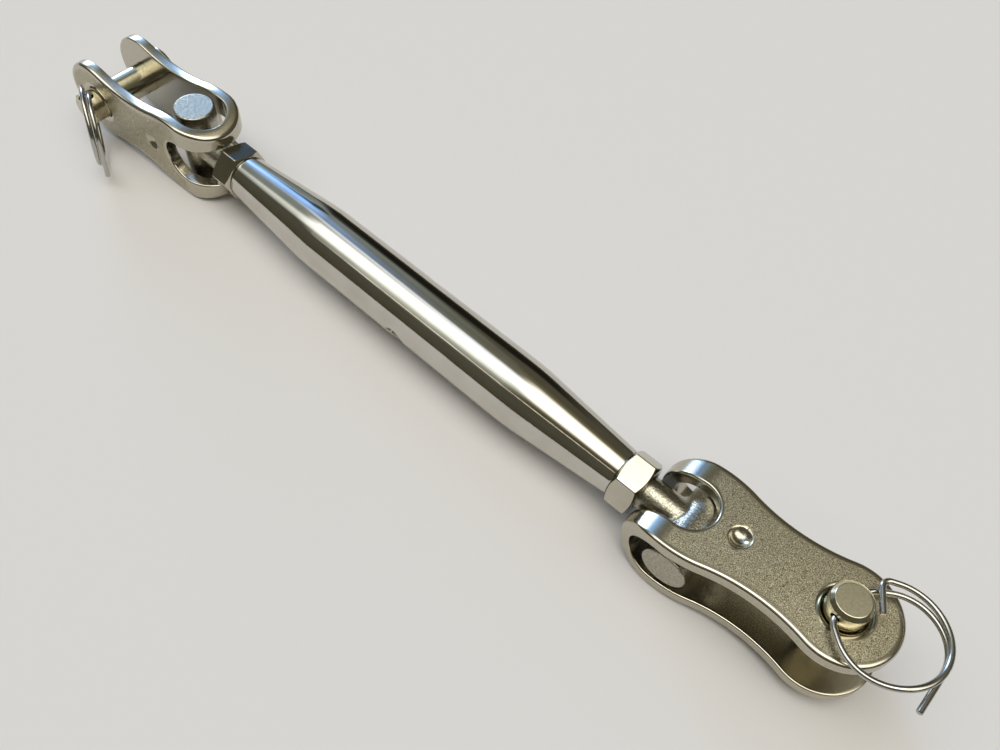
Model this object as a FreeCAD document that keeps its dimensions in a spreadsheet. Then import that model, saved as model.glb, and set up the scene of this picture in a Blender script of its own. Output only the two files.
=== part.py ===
import FreeCAD, Part
import math
import os
import Sketcher
from FreeCAD import Placement, Rotation, Vector

# Closed-body rigging screw with a toggle jaw at both ends, millimetres, +Z up.
# The origin is the centre of the body, on the axis of its turning-bar hole.
# +X runs along the body from the far jaw to the near jaw. The screw lies as it rests on a table.

# Driving dimensions: name, value, meaning
SIZES = [
    ("body_length", 120.0, "closed body, end to end"),
    ("body_diameter", 16.0, "straight middle of the body"),
    ("body_end_diameter", 11.1, "swaged end of the body"),
    ("body_straight", 58.0, "length of the straight middle"),
    ("taper_radius", 85.0, "round between the middle and the taper"),
    ("body_end_round", 0.5, "rounded rim of the body's end"),
    ("body_cavity_diameter", 10.0, "hollow between the two threads"),
    ("body_thread_length", 22.0, "tapped length at each end"),
    ("bar_hole_diameter", 5.0, "cross hole for the turning bar"),
    ("bar_hole_edge", 0.3, "broken edge of the bar hole"),
    ("bar_hole_turn", 20.0, "turn of the bar hole about the body, degrees"),
    ("thread_diameter", 8.0, "outer diameter of both threads"),
    ("thread_clearance", 0.05, "radial clearance round the stem"),
    ("thread_lead_in", 0.7, "chamfer of the threaded holes"),
    ("nut_flats", 12.0, "lock nut across flats"),
    ("nut_height", 6.0, "lock nut height"),
    ("nut_face_step", 0.3, "round face of the nut inside its flats"),
    ("nut_chamfer_angle", 30.0, "chamfer of the nut's corners, degrees"),
    ("near_nut_turn", 11.0, "turn of the near nut, degrees"),
    ("far_nut_turn", -10.0, "turn of the far nut, degrees"),
    ("near_fold_gap", 0.65, "between the near nut and its toggle"),
    ("far_fold_gap", 0.35, "between the far nut and its toggle"),
    ("stem_gap", 9.0, "between the two stems' ends, all the way in"),
    ("stem_point", 1.0, "chamfer of a stem's end"),
    ("barrel_clearance", 1.1, "radial clearance of the T-bolt's cross barrel in its jaw"),
    ("barrel_length", 22.4, "cross barrel, end to end"),
    ("barrel_edge", 0.5, "rounded rim of the barrel"),
    ("neck_round", 1.8, "round between stem and barrel"),
    ("plate_thickness", 3.0, "toggle plate"),
    ("jaw_gap", 12.3, "between the toggle's plates"),
    ("jaw_depth", 33.0, "fold centre to pin axis"),
    ("fold_half_width", 11.4, "half width of the toggle at its crown"),
    ("crown_radius", 26.5, "convex side of the plate at the fold"),
    ("crown_offset", 1.6, "crown from the fold centre"),
    ("waist_radius", 38.0, "hollow side of the plate"),
    ("mouth_radius", 10.6, "round end of the plate"),
    ("plate_edge_round", 0.9, "outer edge of the plate"),
    ("plate_inner_round", 0.4, "inner edge of the plate"),
    ("slot_clearance", 1.6, "stem to the side of the slot through the fold"),
    ("slot_reach", 5.8, "closed end of the slot beyond the fold centre"),
    ("slot_edge_round", 0.5, "rounded rim of the slot"),
    ("dimple_distance", 11.3, "dimple from the fold centre"),
    ("dimple_diameter", 4.4, "punched dimple, outside"),
    ("dimple_depth", 1.3, "depth of the dimple and height of its bump"),
    ("pin_hole_round", 1.0, "rounded rim of the pin hole"),
    ("near_swing", 6.7, "near toggle, mouth up, degrees"),
    ("far_swing", 2.5, "far toggle, sideways, degrees"),
    ("barrel_shift", 2.6, "barrel from the fold centre towards the mouth"),
    ("near_barrel_gap", 0.6, "near barrel to the upper plate"),
    ("far_stem_gap", 1.4, "far stem to the lower side of its slot"),
    ("pin_diameter", 8.0, "clevis pin"),
    ("pin_clearance", 0.08, "radial clearance of the pin"),
    ("pin_play", 0.05, "end play under the pin's head"),
    ("pin_head_diameter", 11.5, "head of the pin"),
    ("pin_head_height", 3.2, "head of the pin"),
    ("pin_head_round", 0.8, "rounded rim of the head"),
    ("pin_end_length", 4.6, "pin beyond the plate"),
    ("pin_end_chamfer", 0.8, "chamfer of the pin's end"),
    ("near_pin_turn", -103.4, "turn of the near pin in its jaw, degrees"),
    ("far_pin_turn", 78.0, "turn of the far pin in its jaw, degrees"),
    ("ring_wire_diameter", 1.2, "cotter ring wire"),
    ("ring_clearance", 0.3, "radial clearance of the wire in the pin"),
    ("ring_hole_height", 2.2, "wire hole above the plate"),
    ("ring_turn_gap", 0.1, "between the two turns of the ring"),
    ("ring_outer_radius", 9.45, "outer turn, middle of the wire"),
    ("ring_inner_radius", 8.5, "inner turn, middle of the wire"),
    ("ring_outer_side", 1.6, "centre of the outer turn beside the pin's axis"),
    ("ring_inner_side", 1.7, "centre of the inner turn beside the pin's axis"),
    ("ring_outer_offset", 7.75, "centre of the outer turn from the wire hole"),
    ("ring_inner_offset", 8.8, "centre of the inner turn from the wire hole"),
    ("ring_first_bend", 2.8, "bend where the outer turn enters the hole"),
    ("ring_second_bend", 4.0, "bend where the inner turn leaves the hole"),
    ("ring_bend_inset", 0.8, "start of these bends inside the pin's surface"),
    ("ring_end_bend", 1.5, "bend of the wire's inner end"),
    ("ring_end_side", 5.95, "centre of the end's bend beside the outer turn's centre"),
    ("ring_end_offset", 5.4, "centre of the end's bend before the outer turn's centre"),
    ("ring_end_length", 5.0, "straight inner end of the wire"),
    ("ring_end_heading", 221.0, "direction of the inner end, degrees"),
    ("ring_tail_length", 8.5, "straight outer end of the wire"),
    ("ring_tail_heading", 11.0, "direction of the outer end, degrees"),
    ("ring_ramp_start", -20.0, "direction of the wire where it leaves the upper turn, degrees"),
    ("ring_ramp_end", -95.0, "direction of the wire where it reaches the lower turn, degrees"),
    ("near_ring_tilt", 0.0, "tilt of the near ring off the plate, degrees"),
    ("far_ring_tilt", 30.0, "tilt of the far ring off the plate, degrees"),
]

doc = FreeCAD.newDocument("rigging_screw")
sheet = doc.addObject("Spreadsheet::Sheet", "Sizes")


class Dim:
    """A size that knows its number and the sheet expression that gives it."""

    def __init__(self, value, text):
        self.value = value
        self.text = text

    def __add__(self, other):
        other = dim(other)
        return Dim(self.value + other.value, "(" + self.text + " + " + other.text + ")")

    def __sub__(self, other):
        other = dim(other)
        return Dim(self.value - other.value, "(" + self.text + " - " + other.text + ")")

    def __mul__(self, other):
        other = dim(other)
        return Dim(self.value * other.value, "(" + self.text + " * " + other.text + ")")

    def __truediv__(self, other):
        other = dim(other)
        return Dim(self.value / other.value, "(" + self.text + " / " + other.text + ")")

    def __neg__(self):
        return Dim(-self.value, "(0 - " + self.text + ")")


def dim(number):
    """A plain number as a Dim."""
    if isinstance(number, Dim):
        return number
    return Dim(float(number), repr(float(number)))


def root(square):
    """Square root of a Dim."""
    return Dim(math.sqrt(square.value), "sqrt(" + square.text + ")")


def fill_sheet():
    """Writes the driving dimensions into the sheet and returns them by name."""
    found = {}
    for row, (name, value, meaning) in enumerate(SIZES, start=1):
        sheet.set("A" + str(row), meaning)
        sheet.set("B" + str(row), repr(value))
        sheet.setAlias("B" + str(row), name)
        found[name] = Dim(value, "Sizes." + name)
    doc.recompute()
    return found


size = fill_sheet()
ZERO = dim(0.0)

# Sizes that several pieces share, worked out once from the driving ones
half_length = size["body_length"] / 2
thread_radius = size["thread_diameter"] / 2
tapped_radius = thread_radius + size["thread_clearance"]
inner_half = size["jaw_gap"] / 2
outer_half = inner_half + size["plate_thickness"]
pin_radius = size["pin_diameter"] / 2
pin_top = outer_half + size["pin_end_length"]
ring_hole = outer_half + size["ring_hole_height"]
barrel_radius = inner_half - size["barrel_clearance"]
fold_to_barrel = outer_half + size["barrel_shift"]
near_barrel = half_length + size["nut_height"] + size["near_fold_gap"] + fold_to_barrel
far_barrel = half_length + size["nut_height"] + size["far_fold_gap"] + fold_to_barrel
near_lift = size["barrel_clearance"] - size["near_barrel_gap"]
far_drop = size["slot_clearance"] - size["far_stem_gap"]

# How far a cutting sketch runs past the solid
PAST = 2.0
# Plane roles of a body's origin
FLAT = "XY_Plane"
SIDE = "XZ_Plane"
ACROSS = "YZ_Plane"
LINE = None


def plane_of(body, role):
    """The origin plane of a body, found by its role."""
    for feature in body.Origin.OriginFeatures:
        if feature.Role == role:
            return feature
    raise RuntimeError("no plane " + role)


def new_body(name):
    """An empty body whose label is the sub-part's name."""
    body = doc.addObject("PartDesign::Body", name)
    body.Label = name
    return body


def hold(sketch, kind, geometry, point, axis, value):
    """Pins one coordinate of a sketch point to an expression, or to the axis where it is zero."""
    if value.text == ZERO.text:
        sketch.addConstraint(Sketcher.Constraint("PointOnObject", geometry, point, axis))
        return
    index = sketch.addConstraint(Sketcher.Constraint(kind, -1, 1, geometry, point, value.value))
    sketch.setExpression("Constraints[" + str(index) + "]", value.text)


def draw_loop(sketch, corners, bends):
    """Closed outline. bends[i] is LINE, or (radius, side) for the arc from corner i to the next:
    side +1 turns anticlockwise and -1 clockwise, and the arc is the shorter one unless side is doubled."""
    count = len(corners)
    ends = []
    for i in range(count):
        x0, y0 = corners[i][0].value, corners[i][1].value
        x1, y1 = corners[(i + 1) % count][0].value, corners[(i + 1) % count][1].value
        if bends[i] is LINE:
            index = sketch.addGeometry(Part.LineSegment(Vector(x0, y0, 0), Vector(x1, y1, 0)))
            ends.append((index, 1, 2))
            continue
        radius, side = bends[i]
        chord = math.hypot(x1 - x0, y1 - y0)
        rise = math.sqrt(max(radius.value ** 2 - chord ** 2 / 4, 0.0))
        turn = 1.0 if side > 0 else -1.0
        if abs(side) == 2:
            rise = -rise
        cx = (x0 + x1) / 2 - turn * rise * (y1 - y0) / chord
        cy = (y0 + y1) / 2 + turn * rise * (x1 - x0) / chord
        first = math.atan2(y0 - cy, x0 - cx)
        last = math.atan2(y1 - cy, x1 - cx)
        circle = Part.Circle(Vector(cx, cy, 0), Vector(0, 0, 1), radius.value)
        if side > 0:
            index = sketch.addGeometry(Part.ArcOfCircle(circle, first, last))
            ends.append((index, 1, 2))
        else:
            index = sketch.addGeometry(Part.ArcOfCircle(circle, last, first))
            ends.append((index, 2, 1))
    for i in range(count):
        index, start, finish = ends[i]
        following = ends[(i + 1) % count]
        sketch.addConstraint(Sketcher.Constraint("Coincident", index, finish, following[0], following[1]))
    for i in range(count):
        index, start, finish = ends[i]
        hold(sketch, "DistanceX", index, start, -2, corners[i][0])
        hold(sketch, "DistanceY", index, start, -1, corners[i][1])
        if bends[i] is not LINE:
            radius = bends[i][0]
            number = sketch.addConstraint(Sketcher.Constraint("Radius", index, radius.value))
            sketch.setExpression("Constraints[" + str(number) + "]", radius.text)
    return ends


def new_sketch(body, name, role, along=ZERO):
    """A sketch on one of the body's own origin planes, its origin moved along the plane's first axis."""
    sketch = body.newObject("Sketcher::SketchObject", name)
    sketch.AttachmentSupport = [(plane_of(body, role), "")]
    sketch.MapMode = "FlatFace"
    if along is not ZERO:
        sketch.setExpression("AttachmentOffset.Base.x", along.text)
    return sketch


def outline(body, name, role, corners, bends=None, along=ZERO):
    """A sketch with one closed outline, straight where bends says nothing."""
    sketch = new_sketch(body, name, role, along)
    draw_loop(sketch, corners, bends or [LINE] * len(corners))
    return sketch


def circle_sketch(body, name, role, x, y, radius):
    """A sketch with one circle."""
    sketch = new_sketch(body, name, role)
    ring = Part.Circle(Vector(x.value, y.value, 0), Vector(0, 0, 1), radius.value)
    index = sketch.addGeometry(ring)
    hold(sketch, "DistanceX", index, 3, -2, x)
    hold(sketch, "DistanceY", index, 3, -1, y)
    number = sketch.addConstraint(Sketcher.Constraint("Radius", index, radius.value))
    sketch.setExpression("Constraints[" + str(number) + "]", radius.text)
    return sketch


def spin(body, kind, name, sketch, axis):
    """A Revolution or a Groove of a sketch by a full turn."""
    feature = body.newObject("PartDesign::" + kind, name)
    feature.Profile = sketch
    feature.ReferenceAxis = (sketch, [axis])
    feature.Angle = 360
    doc.recompute()
    return feature


def pad_both(body, name, sketch, length):
    """A pad of the given whole length, half to each side of its sketch."""
    feature = body.newObject("PartDesign::Pad", name)
    feature.Profile = sketch
    feature.SideType = "Symmetric"
    feature.setExpression("Length", length.text)
    doc.recompute()
    return feature


def cut_through(body, name, sketch):
    """A pocket through everything on both sides of its sketch."""
    before = body.Tip.Shape.Volume
    feature = body.newObject("PartDesign::Pocket", name)
    feature.Profile = sketch
    feature.SideType = "Symmetric"
    feature.Type = "ThroughAll"
    doc.recompute()
    if feature.Shape.Volume >= before:
        raise RuntimeError(name + " cuts nothing")
    return feature


def dress(body, kind, name, amount, chosen):
    """A Fillet or Chamfer on the edges of the tip that the test function chooses."""
    base = body.Tip
    names = ["Edge" + str(i) for i, edge in enumerate(base.Shape.Edges, start=1) if chosen(edge)]
    if not names:
        raise RuntimeError(name + " finds no edge")
    feature = body.newObject("PartDesign::" + kind, name)
    feature.Base = (base, names)
    feature.setExpression("Radius" if kind == "Fillet" else "Size", amount.text)
    doc.recompute()
    return feature


def near_to(a, b, slack=1e-3):
    """Whether two numbers are equal but for rounding."""
    return abs(a - b) < slack


def points_of(edge):
    """Points along an edge, its ends among them."""
    return edge.discretize(7)


def body_tube():
    """The closed body: a tube with a straight middle, a round into each taper, and a tapped end bore."""
    body = new_body("body_tube")
    middle = size["body_diameter"] / 2
    end = size["body_end_diameter"] / 2
    straight = size["body_straight"] / 2
    bend = size["taper_radius"]
    # The taper is the tangent from the end's rim to the round that starts at the straight middle
    run = half_length - straight
    drop = end - middle + bend
    reach = run * run + drop * drop
    tangent = root(reach - bend * bend)
    touch_x = straight + bend * (run * bend - drop * tangent) / reach
    touch_r = middle - bend + bend * (drop * bend + run * tangent) / reach
    cavity = size["body_cavity_diameter"] / 2
    thread_end = half_length - size["body_thread_length"]
    cavity_end = thread_end - (cavity - tapped_radius)
    lead = size["thread_lead_in"]
    right = [
        (straight, middle),
        (touch_x, touch_r),
        (half_length, end),
        (half_length, tapped_radius + lead),
        (half_length - lead, tapped_radius),
        (thread_end, tapped_radius),
        (cavity_end, cavity),
    ]
    left = [(-x, r) for x, r in reversed(right)]
    bends = [LINE] * (2 * len(right))
    bends[0] = (bend, -1)
    bends[-2] = (bend, -1)
    profile = outline(body, "tube_profile", SIDE, right + left, bends)
    spin(body, "Revolution", "tube", profile, "H_Axis")
    hole = circle_sketch(body, "bar_hole_circle", SIDE, ZERO, ZERO, size["bar_hole_diameter"] / 2)
    cut_through(body, "bar_hole", hole)

    def outer_rim(edge):
        return all(near_to(abs(p.x), half_length.value) and near_to(math.hypot(p.y, p.z), end.value)
                   for p in points_of(edge))

    def hole_mouth(edge):
        bore = size["bar_hole_diameter"].value / 2
        return all(near_to(math.hypot(p.x, p.z), bore) and near_to(math.hypot(p.y, p.z), middle.value)
                   for p in points_of(edge))

    dress(body, "Fillet", "end_rims", size["body_end_round"], outer_rim)
    dress(body, "Chamfer", "bar_hole_rims", size["bar_hole_edge"], hole_mouth)
    body.Placement = Placement(Vector(), Rotation(Vector(1, 0, 0), size["bar_hole_turn"].value))
    return body


def lock_nut(name, start, turn):
    """Hexagon nut along +X from start, chamfered on both faces, with a plain bore for its thread."""
    body = new_body(name)
    apothem = size["nut_flats"] / 2
    corner = size["nut_flats"] / math.sqrt(3)
    height = size["nut_height"]
    corners = []
    for k in range(6):
        angle = math.radians(60 * k)
        corners.append((corner * round(math.cos(angle), 12), corner * round(math.sin(angle), 12)))
    corners[0] = (corner, ZERO)
    corners[3] = (-corner, ZERO)
    hexagon = outline(body, "hexagon", ACROSS, corners)
    pad = body.newObject("PartDesign::Pad", "blank")
    pad.Profile = hexagon
    pad.setExpression("Length", height.text)
    doc.recompute()
    wide = corner + PAST
    face_radius = apothem - size["nut_face_step"]
    slope = math.tan(math.radians(size["nut_chamfer_angle"].value))
    back = (wide - face_radius) * Dim(slope, "tan(" + size["nut_chamfer_angle"].text + ")")
    for label, face, inward in (("outer", height, -back), ("inner", ZERO, back)):
        over = face - inward
        wedge = [(face, face_radius), (face + inward, wide), (over, wide), (over, face_radius)]
        chamfer = outline(body, label + "_chamfer_profile", SIDE, wedge)
        spin(body, "Groove", label + "_chamfer", chamfer, "H_Axis")
    lead = size["thread_lead_in"]
    bore = [
        (ZERO, ZERO),
        (height, ZERO),
        (height, tapped_radius + lead),
        (height - lead, tapped_radius),
        (lead, tapped_radius),
        (ZERO, tapped_radius + lead),
    ]
    spin(body, "Groove", "bore", outline(body, "bore_profile", SIDE, bore), "H_Axis")
    body.Placement = Placement(Vector(start.value, 0, 0), Rotation(Vector(1, 0, 0), turn.value))
    return body


def t_bolt(name, reach, placement):
    """T-bolt: stem along -X from the barrel's axis, barrel along Y, one round between the two.
    The stem ends half a gap short of the closed body's middle."""
    body = new_body(name)
    length = reach - size["stem_gap"] / 2
    point = size["stem_point"]
    barrel = barrel_radius
    stem = [
        (ZERO, ZERO),
        (ZERO, thread_radius),
        (point - length, thread_radius),
        (-length, thread_radius - point),
        (-length, ZERO),
    ]
    spin(body, "Revolution", "stem", outline(body, "stem_profile", SIDE, stem), "H_Axis")
    pad_both(body, "barrel", circle_sketch(body, "barrel_circle", SIDE, ZERO, ZERO, barrel),
             size["barrel_length"])

    def junction(edge):
        return all(near_to(math.hypot(p.y, p.z), thread_radius.value)
                   and near_to(math.hypot(p.x, p.z), barrel.value) for p in points_of(edge))

    def barrel_rim(edge):
        return all(near_to(abs(p.y), size["barrel_length"].value / 2) for p in points_of(edge))

    dress(body, "Fillet", "neck", size["neck_round"], junction)
    dress(body, "Fillet", "barrel_rims", size["barrel_edge"], barrel_rim)
    body.Placement = placement
    return body


def plate_outline():
    """Half of the toggle's hourglass side: crown arc, waist arc and mouth arc, each tangent to the next.
    Returns the start of the crown, the two tangent points and the three radii."""
    crown = size["crown_radius"]
    waist = size["waist_radius"]
    mouth = size["mouth_radius"]
    crown_x = size["crown_offset"]
    crown_y = size["fold_half_width"] - crown
    mouth_x = size["jaw_depth"]
    # Centre of the waist arc: where circles about the other two centres cross
    far = crown + waist
    near = mouth + waist
    dx = mouth_x - crown_x
    dy = -crown_y
    span2 = dx * dx + dy * dy
    along = (far * far - near * near + span2) / (root(span2) * 2)
    across = root(far * far - along * along)
    ex = dx / root(span2)
    ey = dy / root(span2)
    waist_x = crown_x + ex * along - ey * across
    waist_y = crown_y + ey * along + ex * across
    first = (crown_x + (waist_x - crown_x) * crown / far, crown_y + (waist_y - crown_y) * crown / far)
    second = (mouth_x + (waist_x - mouth_x) * mouth / near, waist_y * mouth / near)
    start_x = -outer_half - PAST / 2
    start_y = crown_y + root(crown * crown - (start_x - crown_x) * (start_x - crown_x))
    return (start_x, start_y), first, second


def toggle(name, placement):
    """Toggle: a plate with an hourglass outline folded into a U, with its slot, holes and dimples.
    Its own origin is the fold's centre, +X towards the mouth, +Z across the jaw."""
    body = new_body(name)
    start, first, second = plate_outline()
    crown, waist, mouth = size["crown_radius"], size["waist_radius"], size["mouth_radius"]
    upper = [start, first, second]
    lower = [(x, -y) for x, y in upper]
    blank = outline(body, "plate_outline", FLAT, lower + list(reversed(upper)),
                    [(crown, 1), (waist, -1), (mouth, 2), (waist, -1), (crown, 1), LINE])
    pad_both(body, "folded_blank", blank, outer_half * 2)
    mouth_end = size["jaw_depth"] + mouth + PAST
    gap = outline(body, "jaw_profile", SIDE,
                  [(ZERO, inner_half), (-inner_half, ZERO), (ZERO, -inner_half),
                   (mouth_end, -inner_half), (mouth_end, inner_half)],
                  [(inner_half, 1), (inner_half, 1), LINE, LINE, LINE])
    cut_through(body, "jaw", gap)
    back = -outer_half - PAST
    over = outer_half + PAST
    bow = outline(body, "fold_profile", SIDE,
                  [(ZERO, outer_half), (ZERO, over), (back, over), (back, -over), (ZERO, -over),
                   (ZERO, -outer_half), (-outer_half, ZERO)],
                  [LINE, LINE, LINE, LINE, LINE, (outer_half, -1), (outer_half, -1)])
    cut_through(body, "fold", bow)
    half_slot = thread_radius + size["slot_clearance"]
    slot_x = size["slot_reach"] - half_slot
    slot = outline(body, "slot_outline", FLAT,
                   [(back, -half_slot), (slot_x, -half_slot), (size["slot_reach"], ZERO),
                    (slot_x, half_slot), (back, half_slot)],
                   [LINE, (half_slot, 1), (half_slot, 1), LINE, LINE])
    cut_through(body, "slot", slot)
    bore = pin_radius + size["pin_clearance"]
    cut_through(body, "pin_holes", circle_sketch(body, "pin_circle", FLAT, size["jaw_depth"], ZERO, bore))

    outer = outer_half.value
    inner = inner_half.value
    pin_x = size["jaw_depth"].value

    def on_wall(edge, radius):
        return all(near_to(abs(p.z) if p.x > 0 else math.hypot(p.x, p.z), radius) for p in points_of(edge))

    def in_slot(edge):
        return all(abs(p.y) < half_slot.value + 1e-3 and p.x < size["slot_reach"].value + 1e-3
                   for p in points_of(edge))

    def in_bore(edge):
        return all(near_to(math.hypot(p.x - pin_x, p.y), bore.value) for p in points_of(edge))

    def rim(edge):
        return not in_slot(edge) and not in_bore(edge)

    dress(body, "Fillet", "outer_edge", size["plate_edge_round"],
          lambda edge: on_wall(edge, outer) and rim(edge))
    dress(body, "Fillet", "inner_edge", size["plate_inner_round"],
          lambda edge: on_wall(edge, inner) and rim(edge))
    dress(body, "Fillet", "slot_edge", size["slot_edge_round"],
          lambda edge: on_wall(edge, outer) and in_slot(edge))
    dress(body, "Fillet", "pin_hole_edge", size["pin_hole_round"],
          lambda edge: on_wall(edge, outer) and in_bore(edge))
    dimples(body)
    body.Placement = placement
    return body


def dimples(body):
    """A punched dimple in each plate, hollow outside and a bump of the same height inside."""
    half = size["dimple_diameter"] / 2
    depth = size["dimple_depth"]
    ball = (half * half + depth * depth) / (depth * 2)
    skin = depth / 2
    for label, kind, face in (("hollow", "Groove", outer_half), ("bump", "Revolution", inner_half)):
        for side in (1, -1):
            corners = [
                (ZERO, (face - depth) * side),
                (half, face * side),
                (half, (face + skin) * side),
                (ZERO, (face + skin) * side),
            ]
            where = label + ("_upper" if side > 0 else "_lower")
            profile = outline(body, where + "_profile", SIDE, corners, [(ball, side), LINE, LINE, LINE],
                              size["dimple_distance"])
            spin(body, kind, where, profile, "V_Axis")


def clevis_pin(name, placement):
    """Headed pin along +Z through the jaw, its middle at the jaw's middle, with a cross hole along X."""
    body = new_body(name)
    seat = -outer_half - size["pin_play"]
    base = seat - size["pin_head_height"]
    head = size["pin_head_diameter"] / 2
    chamfer = size["pin_end_chamfer"]
    profile = [
        (ZERO, base),
        (head, base),
        (head, seat),
        (pin_radius, seat),
        (pin_radius, pin_top - chamfer),
        (pin_radius - chamfer, pin_top),
        (ZERO, pin_top),
    ]
    spin(body, "Revolution", "pin", outline(body, "pin_profile", SIDE, profile), "V_Axis")
    wire_hole = size["ring_wire_diameter"] / 2 + size["ring_clearance"]
    cut_through(body, "cross_hole", circle_sketch(body, "cross_circle", ACROSS, ZERO, ring_hole, wire_hole))

    def head_rim(edge):
        return all(near_to(math.hypot(p.x, p.y), head.value) for p in points_of(edge)) \
            and near_to(edge.BoundBox.ZLength, 0.0)

    dress(body, "Fillet", "head_rims", size["pin_head_round"], head_rim)
    body.Placement = placement
    return body


def heading(angle):
    """Unit vector of a direction in the ring's plane, angle in radians."""
    return Vector(math.cos(angle), math.sin(angle), 0)


def on_disc(disc, angle, height):
    """Where a wire wound clockwise round a disc (x, y, radius) runs in the given direction."""
    x, y, radius = disc
    return Vector(x - radius * math.sin(angle), y + radius * math.cos(angle), height)


def leaving(first, second):
    """Direction of the straight wire between two discs that it is wound round clockwise."""
    dx = second[0] - first[0]
    dy = second[1] - first[1]
    return math.atan2(dy, dx) - math.asin((first[2] - second[2]) / math.hypot(dx, dy))


def clockwise(start, end):
    """The end direction brought below the start, so that the turn between them is clockwise."""
    while end > start:
        end -= 2 * math.pi
    return end


def turn_arc(disc, start, end, height):
    """The wire's arc round a disc between two directions."""
    middle = (start + end) / 2
    return Part.Arc(on_disc(disc, start, height), on_disc(disc, middle, height),
                    on_disc(disc, end, height)).toShape()


def turn_ramp(disc, start, end, top, bottom):
    """The wire's curve round a disc while it comes down from one turn to the next."""
    reach = disc[2] * 4 / 3 * math.tan((start - end) / 4)
    first = on_disc(disc, start, top)
    last = on_disc(disc, end, bottom)
    curve = Part.BezierCurve()
    curve.setPoles([first, first + heading(start) * reach, last - heading(end) * reach, last])
    return curve.toShape()


def ring_path():
    """Middle line of the cotter ring: two turns of wire, one through the pin's hole along X.
    The outer turn lies a wire's thickness higher and comes down to the hole on the ring's right."""
    rise = size["ring_wire_diameter"].value + size["ring_turn_gap"].value
    hole_end = pin_radius.value - size["ring_bend_inset"].value
    outer = (-size["ring_outer_side"].value, size["ring_outer_offset"].value,
             size["ring_outer_radius"].value)
    inner = (-size["ring_inner_side"].value, size["ring_inner_offset"].value,
             size["ring_inner_radius"].value)
    end_bend = (outer[0] - size["ring_end_side"].value, outer[1] - size["ring_end_offset"].value,
                size["ring_end_bend"].value)
    first_bend = (hole_end, size["ring_first_bend"].value, size["ring_first_bend"].value)
    second_bend = (-hole_end, size["ring_second_bend"].value, size["ring_second_bend"].value)
    discs = [end_bend, outer, first_bend, second_bend, inner]
    turns = [math.radians(size["ring_end_heading"].value)]
    for before, after in zip(discs, discs[1:]):
        turns.append(clockwise(turns[-1], leaving(before, after)))
    turns.append(clockwise(turns[-1], math.radians(size["ring_tail_heading"].value)))
    ramp_start = math.radians(size["ring_ramp_start"].value)
    ramp_end = math.radians(size["ring_ramp_end"].value)
    begin = on_disc(end_bend, turns[0], rise)
    edges = [Part.makeLine(begin - heading(turns[0]) * size["ring_end_length"].value, begin)]
    for i, disc in enumerate(discs):
        height = 0.0 if i > discs.index(outer) else rise
        if i > 0:
            edges.append(Part.makeLine(edges[-1].Vertexes[-1].Point, on_disc(disc, turns[i], height)))
        if disc is outer:
            edges.append(turn_arc(disc, turns[i], ramp_start, rise))
            edges.append(turn_ramp(disc, ramp_start, ramp_end, rise, 0.0))
            edges.append(turn_arc(disc, ramp_end, turns[i + 1], 0.0))
        else:
            edges.append(turn_arc(disc, turns[i], turns[i + 1], height))
    finish = on_disc(inner, turns[-1], 0.0)
    edges.append(Part.makeLine(finish, finish + heading(turns[-1]) * size["ring_tail_length"].value))
    return Part.Wire(edges)


def cotter_ring(name, placement):
    """Split ring of round wire whose straight stretch runs along X through the pin."""
    path = ring_path()
    radius = size["ring_wire_diameter"].value / 2
    start = path.OrderedEdges[0]
    circle = Part.makeCircle(radius, start.firstVertex().Point, start.tangentAt(start.FirstParameter))
    ring = doc.addObject("Part::Feature", name)
    ring.Label = name
    ring.Shape = path.makePipeShell([Part.Wire(circle)], True, False)
    ideal = math.pi * radius * radius * path.Length
    if abs(ring.Shape.Volume / ideal - 1) > 0.01:
        raise RuntimeError(name + " has the wrong volume")
    ring.Placement = placement
    return ring


def frame(origin, along, side):
    """Placement whose X and Y run along the two directions."""
    return Placement(origin, Rotation(along, side, along.cross(side), "XZY"))


def jaw_set(side, barrel_place, toggle_place, reach):
    """The T-bolt, toggle, pin and ring of one end. The pin is placed in its jaw and the ring in its pin."""
    in_jaw = Placement(Vector(size["jaw_depth"].value, 0, 0),
                       Rotation(Vector(0, 0, 1), size[side + "_pin_turn"].value))
    in_pin = Placement(Vector(0, 0, ring_hole.value),
                       Rotation(Vector(1, 0, 0), size[side + "_ring_tilt"].value))
    pin_place = toggle_place * in_jaw
    return [
        t_bolt(side + "_t_bolt", reach, barrel_place),
        toggle(side + "_toggle", toggle_place),
        clevis_pin(side + "_clevis_pin", pin_place),
        cotter_ring(side + "_cotter_ring", pin_place * in_pin),
    ]


def near_end():
    """The near end: its jaw lies flat and its mouth is tipped up."""
    lean = math.radians(size["near_swing"].value)
    along = Vector(math.cos(lean), 0, math.sin(lean))
    side = Vector(0, 1, 0)
    axis = Vector(near_barrel.value, 0, 0)
    origin = axis - along * size["barrel_shift"].value - along.cross(side) * near_lift.value
    return jaw_set("near", Placement(axis, Rotation()), frame(origin, along, side), near_barrel)


def far_end():
    """The far end: its jaw stands on edge, a quarter turn from the near one, and is swung sideways."""
    lean = math.radians(size["far_swing"].value)
    along = Vector(-math.cos(lean), -math.sin(lean), 0)
    side = Vector(0, 0, -1)
    axis = Vector(-far_barrel.value, 0, 0)
    origin = axis - along * size["barrel_shift"].value - side * far_drop.value
    return jaw_set("far", frame(axis, Vector(-1, 0, 0), side), frame(origin, along, side), far_barrel)


def checked(parts):
    """Stops with the object's name if any feature failed or any sub-part has no sound solid."""
    doc.recompute()
    for thing in doc.Objects:
        if "Invalid" in thing.State or "Error" in thing.State:
            raise RuntimeError(thing.Name + " failed: " + str(thing.State))
    for part in parts:
        if part.Shape.isNull() or not part.Shape.isValid():
            raise RuntimeError(part.Label + " has no valid shape")
        if len(part.Shape.Solids) != 1:
            raise RuntimeError(part.Label + " is not one solid")
    return parts


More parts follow.
